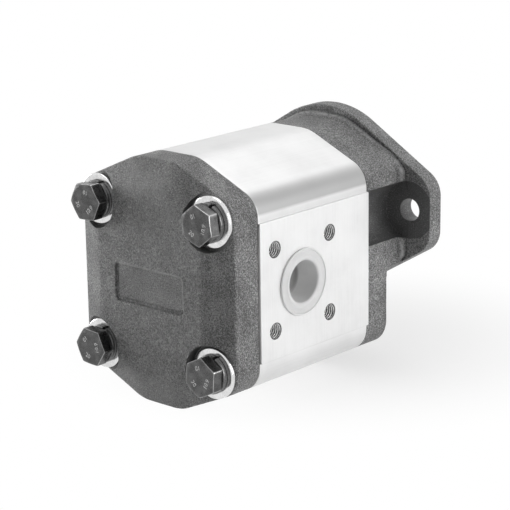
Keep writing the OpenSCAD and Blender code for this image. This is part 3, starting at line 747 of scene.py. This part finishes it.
ear_profile = [(body_front - 3, ear_seat_radius), (-9.2, ear_seat_radius), (-8.85, ear_seat_radius - 0.15),
    (-8.7, ear_seat_radius - 0.5), (-8.699, ear_hole_radius + 0.3), (-8.4, ear_hole_radius),
    (-0.3, ear_hole_radius), (0, ear_hole_radius + 0.3), (1, ear_hole_radius + 1.3)]
clearances = [spindle((x, 0, 0), ear_profile, 120) for x in (-ear_x, ear_x)]
tapped_hole = [(body_front - 1, 6.0), (body_front, 5.5), (body_front + 0.4, tap_radius),
    (body_front + 12.4, tap_radius), (body_front + 14, 0.3)]
clearances += [spindle((x, 0, z), tapped_hole) for x, z in bolt_axes]
dowel_hole = [(-1, dowel_hole_radius), (8, dowel_hole_radius), (9, dowel_hole_radius / 2)]
clearances += [spindle((x, body_front, middle_z), dowel_hole) for x in (-dowel_x, dowel_x)]
cut(front_cover, skin("front_cutters", clearances, machined_iron))
groove = seal_groove(body_front - 1, body_front + groove_depth)
cut(front_cover, skin("front_groove", [groove], machined_iron, tube=True))


def by_the_bead(place):
    """The bead's size at each point's own heading, how far past the neck the point reaches there, and
    how far it lies behind the flange's near face."""
    offset = place[:, [0, 2]] - polar_middle
    bearing = np.arctan2(offset[:, 1], offset[:, 0])
    size = np.interp(bearing, angle, bead, period=2 * np.pi)
    past_neck = np.linalg.norm(offset, axis=1) - np.interp(bearing, angle, neck_reach, period=2 * np.pi)
    return size, past_neck, flange_near - place[:, 1]


def bead_painted_shade(place):
    """Painted shade in the crease between the bead and the flange."""
    size, past_neck, from_flange = by_the_bead(place)
    return size * np.exp(-((past_neck - 3.0 * size) / 0.4) ** 2) * (np.abs(from_flange) < 0.3)


def bead_painted_highlight(place):
    """A ragged painted highlight along the bead's crest."""
    size, past_neck, from_flange = by_the_bead(place)
    crest = np.exp(-((from_flange - 1.5) / 0.9) ** 2) * (past_neck > 0.3)
    return size * crest * np.clip(0.7 + 0.9 * value_noise(place, 0.9, 8), 0, 1)


machined_beyond(front_cover, -0.3)
paint(front_cover, "dirt", bead_painted_shade)
paint(front_cover, "rubbed", bead_painted_highlight)
settle(front_cover, "housing", "cast_iron", "front_cover")

# Cover bolts
# Four M10 hexagon bolts of strength class 10.9, cold-headed, with rolled threads and an oiled black
# oxide finish, clamp both covers on the body. Each head came to rest at its own angle.
head_face = -141.78
head_seat = -135.5
bolt_tip = -25.5
head_flat = 8.5
chamfer = 0.2
cone_start = 8.05
corner_reach = 9.7
shank_radius = 4.98
bolt_pitch = 1.5
mark_height = 3.1
head_turns = {(-1, 1): 4, (1, 1): 38, (-1, -1): 56, (1, -1): 26}
corner_offsets = np.array([0, 0.9, 2.2, 5, 9, 14, 20, 25])
sector = np.concatenate([-corner_offsets[:0:-1], corner_offsets, [30]])
around_head = np.radians((np.arange(6)[:, None] * 60 + 30 + sector[None]).ravel())


def hexagon_reach(bearing):
    """The hexagon's reach is half the flats over the cosine of the angle from the middle of the nearest
    flat, held back at the corners so that they are slightly rounded."""
    from_flat = (bearing + np.pi / 6) % (np.pi / 3) - np.pi / 6
    return np.minimum(head_flat / np.cos(from_flat), head_flat / math.cos(math.pi / 6) - 0.14)


def cone_place(reach):
    """Where along Y the chamfer's cone lies at this distance from the bolt's axis."""
    return head_face + 0.12 + (reach - cone_start) * chamfer


def bolt_rings(x, z, turn_degrees):
    """One bolt: a face, a chamfer cone that the hexagon cuts, the flats, a round shank and a helical
    thread whose radius is a triangle wave of the place along the bolt less pitch times turn."""
    hexagon = hexagon_reach(around_head)
    rows = [(3, head_face), (6.8, head_face), (7.6, head_face + 0.01), (7.95, head_face + 0.08)]
    for share in (0.3, 0.65, 0.92):
        reach = cone_start + (hexagon - cone_start) * share
        rows.append((reach, cone_place(reach)))
    edge_y = cone_place(hexagon)
    for share in (0.06, 0.14, 0.5, 0.9, 0.97):
        rows.append((hexagon, edge_y + (head_seat - 0.4 - edge_y) * share))
    rows += [(hexagon - 0.35, head_seat - 0.12), (8.1, head_seat - 0.1), (8.0, head_seat), (5.5, head_seat),
        (5.1, head_seat + 0.2), (shank_radius, head_seat + 0.6), (shank_radius, -60), (4.6, -58.5)]
    thread_y = np.arange(-58, bolt_tip - 1.2, 0.3)
    wave = np.abs((thread_y[:, None] / bolt_pitch - around_head[None] / (2 * np.pi)) % 1 * 2 - 1)
    rows += zip(4.15 + 0.83 * np.clip(wave * 1.2 - 0.1, 0, 1), thread_y)
    rows += [(4.1, bolt_tip - 0.9), (3.3, bolt_tip)]
    radius, y = spread(rows, len(hexagon))
    bearing = around_head + math.radians(turn_degrees - 30)
    return np.stack([x + radius * np.cos(bearing), y, z + radius * np.sin(bearing)], -1)


oxide = Finish("black_oxide_steel", Metallic=0.85, IOR=1.5)
oil = oxide.place.noise(220, 3, 0.6)
scale_grain = oxide.place.noise(3200, 2, 0.6)
film = (oil * 0.5 + scale_grain * 0.5).ramp((0.35, 0.06), (0.55, 0.11), (0.68, 0.19))
# A painted highlight lightens the rim and the upright corners of each head.
rubbed_edge = oxide.painted("rubbed_edge")
black_steel = oxide.feed(
    Base_Color=(rubbed_edge * (0.45 + 0.9 * oil)).clamp().blend(film, (0.6, 0.6, 0.6)),
    Roughness=0.16 + 0.16 * oil + 0.08 * scale_grain,
    Normal=(scale_grain * 0.5 + oil).bump(0.00006, 0.5))
bolt_places = [(side * bolt_x, middle_z + row * bolt_z) for side, row in head_turns]
bolt_shells = [bolt_rings(x, z, turned_by) for (x, z), turned_by in zip(bolt_places, head_turns.values())]
bolts = skin("cover_bolt_set", bolt_shells, black_steel, sharp=38)


def edge_highlight_share(place):
    """How much painted highlight lies on each head's edges: a bell curve of the distance to the rim of
    the hexagon, and another of the distance to its six upright corners."""
    right_side = place[:, 0] > 0
    upper_row = place[:, 2] > middle_z
    turns = np.array([[head_turns[side, row] for row in (-1, 1)] for side in (-1, 1)])
    own_turn = np.radians(turns[right_side.astype(int), upper_row.astype(int)] - 30)
    from_axis = place[:, [0, 2]] - np.stack([
        np.where(right_side, bolt_x, -bolt_x), middle_z + np.where(upper_row, bolt_z, -bolt_z)], 1)
    bearing = np.arctan2(from_axis[:, 1], from_axis[:, 0]) - own_turn
    short = hexagon_reach(bearing) - np.linalg.norm(from_axis, axis=1)
    past_rim = place[:, 1] - cone_place(hexagon_reach(bearing))
    past_corner = (bearing % (np.pi / 3) - np.pi / 6) * corner_reach
    on_rim = np.exp(-(np.hypot(short, past_rim) / 0.16) ** 2)
    on_corner = np.exp(-(np.hypot(short, past_corner) / 0.25) ** 2) * (place[:, 1] < head_seat - 0.3)
    return np.maximum(on_rim, 0.8 * on_corner)


paint(bolts, "rubbed_edge", edge_highlight_share)
settle(bolts, "housing", "black_steel", "cover_bolts")


def head_mark(figures, x, z, turn_degrees, out):
    """Raised figures on a head, in millimetres: they are made a mesh, stood up so that they face
    backwards, turned about the head's axis and moved out from its middle."""
    curve = bpy.data.curves.new("mark", "FONT")
    curve.body = figures
    curve.size = mark_height
    curve.align_x = "CENTER"
    curve.align_y = "CENTER"
    curve.resolution_u = 3
    curve.extrude = 0.11
    holder = in_scene("mark", curve)
    mesh = worked_out(holder)
    bpy.data.objects.remove(holder)
    weld(mesh, 1e-4)
    points = np.zeros(len(mesh.vertices) * 3)
    mesh.vertices.foreach_get("co", points)
    points = points.reshape(-1, 3)
    turn = math.radians(turn_degrees)
    across = np.array([math.cos(turn), math.sin(turn)])
    up = np.array([-math.sin(turn), math.cos(turn)])
    flat = np.array([x, z]) + points[:, :1] * across + (points[:, 1:2] - out) * up
    placed = np.stack([flat[:, 0], head_face - points[:, 2], flat[:, 1]], 1)
    mesh.vertices.foreach_set("co", (placed * MM).ravel())
    mesh.update()
    return mesh


def coat(piece, material):
    """Gives a whole piece this finish alone."""
    piece.data.materials.clear()
    piece.data.materials.append(material)


marks = []
for (x, z), turned_by in zip(bolt_places, head_turns.values()):
    for figures, tilt, out in (("10.9", 40, 4.7), ("10", 165, 4.8), ("20", 285, 4.8)):
        marks.append(head_mark(figures, x, z, turned_by + tilt, out))
joined = in_scene("bolt_head_marks", marks[0])
others = [in_scene("mark", mesh) for mesh in marks[1:]]
with bpy.context.temp_override(active_object=joined, selected_editable_objects=[joined] + others):
    bpy.ops.object.join()
# The raised figures are painted much lighter than the head, as a painted highlight.
mark_highlight_finish = Finish("oxide_with_painted_highlight", Metallic=0.95, IOR=1.5)
rubbed = mark_highlight_finish.place.noise(1500, 2, 0.6)
coat(joined, mark_highlight_finish.feed(Base_Color=rubbed.ramp((0.35, 0.2), (0.6, 0.6)), Roughness=0.22 + 0.15 * rubbed))
settle(joined, "housing", "black_steel")

# Washers
# A split spring washer under each head, blackened, lies on a large flat washer, which is stamped
# from sheet and bright zinc plated. The stamping rounds one edge and leaves the other sharper.
washer_bore = 5.3
washer_reach = 12.2
washer_height = 2
split_bearing = math.radians(70)
half_split = math.radians(5.2)


def split_ring(x, z):
    """A spring washer: a rounded square section carried round the bolt from one side of the split to
    the other, rising by a small part of its thickness, with its ends closed on their middles."""
    bearing = np.linspace(split_bearing + half_split, split_bearing + 2 * np.pi - half_split, 120)
    section = np.linspace(0, 2 * np.pi, 24, endpoint=False) + np.pi / 24
    power = (np.abs(np.cos(section)) ** 6 + np.abs(np.sin(section)) ** 6) ** (-1 / 6)
    radial = 7.3 + 1.98 * power * np.cos(section)
    height = 1.16 * power * np.sin(section)
    lift = np.linspace(-0.07, 0.07, len(bearing))
    y = (head_seat + seat_face - washer_height) / 2 + height[None] + lift[:, None]
    return np.stack([x + radial * np.cos(bearing)[:, None], y, z + radial * np.sin(bearing)[:, None]], -1)


spring_steel = even_finish(
    "blackened_spring_steel", noise=(1200, 3, 0.6), tones=((0.3, 0.1), (0.6, 0.2), (0.75, 0.3)),
    rough=(0.26, 0.2), bump=(0.00004, 0.5), Metallic=0.9, IOR=1.5)
split_rings = skin("spring_washer_set", [split_ring(x, z) for x, z in bolt_places], spring_steel, sharp=50)
settle(split_rings, "housing", "spring_steel", "spring_washers")

zinc = Finish("zinc_plate", Metallic=1.0, IOR=1.5)
stain = zinc.place.noise(260, 3, 0.6)
scratch = zinc.place.noise(1900, 2, 0.5)
zinc_steel = zinc.feed(
    Base_Color=(stain * 0.6 + scratch * 0.4).ramp((0.3, 0.58), (0.5, 0.72), (0.7, 0.84)),
    Roughness=0.1 + 0.1 * stain + 0.04 * scratch,
    Normal=(scratch + stain).bump(0.00002, 0.3))
flat_profile = [(0, washer_bore), (0, 11.9), (-0.15, 12.15), (-0.6, washer_reach), (-1.3, washer_reach),
    (-1.7, 12.1), (-1.92, 11.85), (-washer_height, 11.5), (-washer_height, 5.8), (-1.9, 5.45),
    (-1.6, washer_bore)]
flat_shells = [spindle((x, seat_face, z), flat_profile, 96) for x, z in bolt_places]
flat_rings = skin("flat_washer_set", flat_shells, zinc_steel, tube=True, sharp=50)
settle(flat_rings, "housing", "zinc_steel", "flat_washers")

# Transport plugs
# A moulded cup of soft white polyethylene closes each port until the pipes are fitted. Its rim
# lies on the pad and ends in a bead. Painted shade darkens the floor of the cup, deep in the port.
polyethylene = Finish(
    "white_polyethylene", Metallic=0.0, IOR=1.5, Subsurface_Weight=0.4, Subsurface_Radius=(1, 1, 1),
    Subsurface_Scale=0.0015)
cloud = polyethylene.place.noise(120, 3, 0.5)
moulded = polyethylene.place.noise(1400, 2, 0.5)
# Painted shade darkens the floor of the cup.
cup_floor_shade = 1 - polyethylene.place.along(0).math("ABSOLUTE").step(0.0378, 0.0392)
milky = (cloud * 0.7 + moulded * 0.3).ramp((0.3, 0.84), (0.7, 0.9))
plug_plastic = polyethylene.feed(
    Base_Color=cup_floor_shade.blend(milky, (0.3, 0.3, 0.3)),
    Roughness=0.3 + 0.14 * moulded,
    Normal=moulded.bump(0.00005, 0.3))
plug_profile = [(-14.5, 3), (-14.5, 10.6), (-14.3, 11.4), (-13.0, 12.75), (-12.6, 12.95), (-0.05, 12.95),
    (-0.01, 13.1), (0.0, 15.6), (0.15, 16.0), (0.6, 16.15), (1.02, 16.0), (1.2, 15.65), (1.17, 15.3),
    (0.95, 15.08), (0.74, 14.9), (0.72, 14.2), (0.72, 12.6), (0.8, 12.3), (0.95, 12.1), (0.98, 11.6),
    (0.9, 10.9), (0.62, 10.35), (0.2, 10.08), (-0.6, 10.0), (-10.6, 9.7), (-11.3, 9.4), (-11.6, 8.8),
    (-11.7, 7.5), (-11.7, 3)]
for side, name in ((1, "outlet_plug"), (-1, "inlet_plug")):
    cup = spindle((side * pad_x, port_y, middle_z), plug_profile, 120, (side, 0, 0))
    plug = skin(name + "_moulding", [cup], plug_plastic, sharp=40)
    settle(plug, name, "plug_plastic", name)

# Gears, shaft and key
# Both gears are cut from one piece with their journals, in case-hardened steel, and ground. The key,
# and the pins that place the covers on the body, are bright drawn steel.
ground = Finish("ground_steel", Metallic=1.0, IOR=1.5)
grinding = ground.place.stretched(1, 14, 1).noise(300, 3, 0.6)
film = ground.place.noise(90, 3, 0.5)
gear_steel = ground.feed(
    Base_Color=(grinding * 0.6 + film * 0.4).ramp((0.3, 0.38), (0.5, 0.52), (0.7, 0.62)),
    Roughness=0.2 + 0.2 * grinding,
    Normal=grinding.bump(0.00002, 0.5))
bright_steel = even_finish(
    "bright_drawn_steel", noise=(1500, 2, 0.5), tones=((0.3, 0.55), (0.7, 0.72)), rough=(0.18, 0.22),
    bump=(0.00002, 0.4), stretch=(1, 0.1, 1), Metallic=1.0, IOR=1.5)
for name in ("drive_gear", "driven_gear"):
    coat(nodes[name], gear_steel)
for name in ("shaft_key", "dowel_pins"):
    coat(nodes[name], bright_steel)

# Bearing blocks and bushes
# Each pair of journals runs in a block turned and milled from high-strength aluminium, with a
# wrapped bronze bush pressed in for each journal.
block_aluminium = even_finish(
    "turned_aluminium", noise=(1100, 2, 0.6), tones=((0.3, (0.52, 0.53, 0.55)), (0.7, (0.66, 0.67, 0.7))),
    rough=(0.26, 0.2), bump=(0.00003, 0.4), Metallic=0.9, IOR=1.5)
bearing_bronze = even_finish(
    "wrapped_bronze", noise=(800, 3, 0.6), tones=((0.3, (0.42, 0.27, 0.14)), (0.7, (0.6, 0.42, 0.24))),
    rough=(0.28, 0.22), bump=(0.00003, 0.4), Metallic=0.9, IOR=1.5)
for name in ("front_bearing_block", "rear_bearing_block"):
    coat(nodes[name], block_aluminium)
for name in ("front_drive_bush", "front_driven_bush", "rear_drive_bush", "rear_driven_bush"):
    coat(nodes[name], bearing_bronze)

# Seals
# Moulded nitrile rubber seals the covers, the pressure side of the blocks and the shaft, and a
# plain plastic backup ring keeps each balance seal from being squeezed out of its groove.
seal_rubber = even_finish(
    "nitrile_rubber", noise=(500, 3, 0.6), tones=((0.3, 0.014), (0.6, 0.024), (0.75, 0.045)),
    rough=(0.42, 0.25), bump=(0.00005, 0.5), Metallic=0.0, IOR=1.5)
backup_plastic = even_finish(
    "pressed_backup_ring", noise=(400, 2, 0.5), tones=((0.3, (0.68, 0.66, 0.58)), (0.7, (0.8, 0.78, 0.7))),
    rough=(0.38, 0.15), bump=(0.00003, 0.3), Metallic=0.0, IOR=1.45)
for name in ("front_body_seal", "rear_body_seal", "front_balance_seal", "rear_balance_seal", "shaft_seal"):
    coat(nodes[name], seal_rubber)
for name in ("front_backup_ring", "rear_backup_ring"):
    coat(nodes[name], backup_plastic)

# Circlip
# An internal circlip, blanked from spring steel and phosphated, holds the shaft seal in. Its ends
# widen into lugs, each with a hole for the pliers, and it is widest opposite the opening.
half_gap = math.radians(13)
clip_reach = 17.05
low_y = 3.57
high_y = 4.73
bevel = 0.12
hole_circle = 14.75
bearing = np.linspace(-np.pi / 2 + half_gap, 1.5 * np.pi - half_gap, 180)
to_end = np.minimum(bearing - bearing[0], bearing[-1] - bearing)
lug = np.clip(1 - np.abs(to_end - 0.12) / 0.2, 0, 1)
lug = lug * lug * (3 - 2 * lug)
width = 2.0 + 1.0 * np.sin((bearing + np.pi / 2) / 2) ** 2 + 1.6 * lug
inner = clip_reach - width
strip = [(clip_reach, low_y + bevel), (clip_reach, high_y - bevel), (clip_reach - bevel, high_y),
    (inner + bevel, high_y), (inner, high_y - bevel), (inner, low_y + bevel), (inner + bevel, low_y),
    (clip_reach - bevel, low_y)]
radius, height = (values.T for values in spread(strip, len(bearing)))
clip_rings = np.stack([radius * np.cos(bearing)[:, None], height, radius * np.sin(bearing)[:, None]], -1)
circlip = skin("seal_circlip_blank", [clip_rings], spring_steel, sharp=40)
plier_holes = [
    spindle((hole_circle * math.cos(turn), 0, hole_circle * math.sin(turn)), [(2, 1.1), (6, 1.1)], 32)
    for turn in (bearing[0] + 0.13, bearing[-1] - 0.13)]
cut(circlip, skin("plier_holes", plier_holes, spring_steel), sharp=40)
settle(circlip, "housing", "spring_steel", "seal_circlip")

# Camera and studio
# The camera stands where the photograph's stood: 42 degrees round from the rear, 15.5 degrees up
# and slightly rolled. Three soft lamps light the pump. The floor and the room look white to the
# camera and in mirrors, and the floor keeps part of the pump's shadow.
azimuth = 0.7321
elevation = 0.2710
roll = -0.0151
camera_place = np.array([617.946, -750.565, 236.519])
forward = np.array([
    -math.sin(azimuth) * math.cos(elevation),
    math.cos(azimuth) * math.cos(elevation),
    -math.sin(elevation)])
level = np.array([math.cos(azimuth), math.sin(azimuth), 0])
upright = np.cross(level, forward)
right = math.cos(roll) * level + math.sin(roll) * upright
up = -math.sin(roll) * level + math.cos(roll) * upright


def stand(thing, place, right, up, ahead):
    """Puts a camera or lamp at a place in metres, with these directions to its right, up and ahead."""
    placing = np.eye(4)
    placing[:3] = np.stack([right, up, -ahead, place], 1)
    thing.matrix_world = Matrix(placing.tolist())


camera_data = bpy.data.cameras.new("camera")
camera_data.lens = 138.57
camera_data.sensor_width = 36
camera_data.clip_end = 20
camera = in_scene("camera", camera_data)
stand(camera, camera_place * MM, right, up, forward)
bpy.context.scene.camera = camera

floor_half = 4.0
floor_z = -0.0791
floor_rows = 9
grid = np.linspace(-floor_half, floor_half, floor_rows)
floor_points = np.stack(np.meshgrid(grid, grid, indexing="ij"), -1).reshape(-1, 2)
floor_points = np.column_stack([floor_points, np.full(len(floor_points), floor_z)])
corner = np.arange(floor_rows ** 2).reshape(floor_rows, floor_rows)
floor_faces = np.stack([corner[:-1, :-1], corner[1:, :-1], corner[1:, 1:], corner[:-1, 1:]], -1)
floor_mesh = bpy.data.meshes.new("floor")
floor_mesh.from_pydata(floor_points.tolist(), [], floor_faces.reshape(-1, 4).tolist())
floor = in_scene("floor", floor_mesh)


def seen_rays(tree):
    """1 for the rays that show a thing: straight from the camera, mirrored or passed through."""
    path = tree.nodes.new("ShaderNodeLightPath")
    straight, mirrored, through = (Wire(tree, path.outputs[name])
        for name in ("Is Camera Ray", "Is Glossy Ray", "Is Transmission Ray"))
    return straight.math("MAXIMUM", mirrored).math("MAXIMUM", through)


paper = Finish("paper_floor", Roughness=0.9)
level_place = paper.place.stretched(1, 1, 0)
distance = level_place.node("VectorMath", {"operation": "LENGTH"}, {0: level_place}, 1)
fibres = paper.place.noise(30, 2).ramp((0.3, 0.86), (0.7, 0.88))
paper.feed(Base_Color=fibres)
far_away = (0.65 + 0.35 * distance.step(0.02, 0.15)) * seen_rays(paper.tree)
white_paper = paper.place.node("Emission")
shaded_paper = Wire(paper.tree, paper.shader.outputs[0])
surface = paper.place.node("MixShader", None, {0: far_away, 1: shaded_paper, 2: white_paper})
paper.tree.links.new(surface.socket, paper.tree.nodes["Material Output"].inputs["Surface"])
floor_mesh.materials.append(paper.material)

world = bpy.data.worlds.new("white_room")
bpy.context.scene.world = world
world.use_nodes = True
tree = world.node_tree
room = tree.nodes["Background"]
room.inputs["Color"].default_value = (1, 1, 1, 1)
strength = seen_rays(tree) * 0.93 + 0.07
tree.links.new(strength.socket, room.inputs["Strength"])
pump_middle = np.array([0, -0.07, 0])


def soft_lamp(name, place, size, power):
    """A square soft lamp at a place in metres, turned to shine at the pump's middle."""
    data = bpy.data.lights.new(name, "AREA")
    data.shape = "SQUARE"
    data.size = size
    data.energy = power
    ahead = pump_middle - np.array(place, float)
    ahead /= np.linalg.norm(ahead)
    across = np.cross(ahead, (0, 0, 1.0))
    across /= np.linalg.norm(across)
    stand(in_scene(name, data), place, across, np.cross(across, ahead), ahead)


soft_lamp("top_lamp", (-0.55, 0.85, 2.6), 1.7, 24)
soft_lamp("right_lamp", (1.0, 0.28, 0.25), 0.6, 6.5)
soft_lamp("left_lamp", (-1.2, -0.35, 0.02), 0.6, 11)

bpy.context.scene.view_settings.view_transform = "Standard"
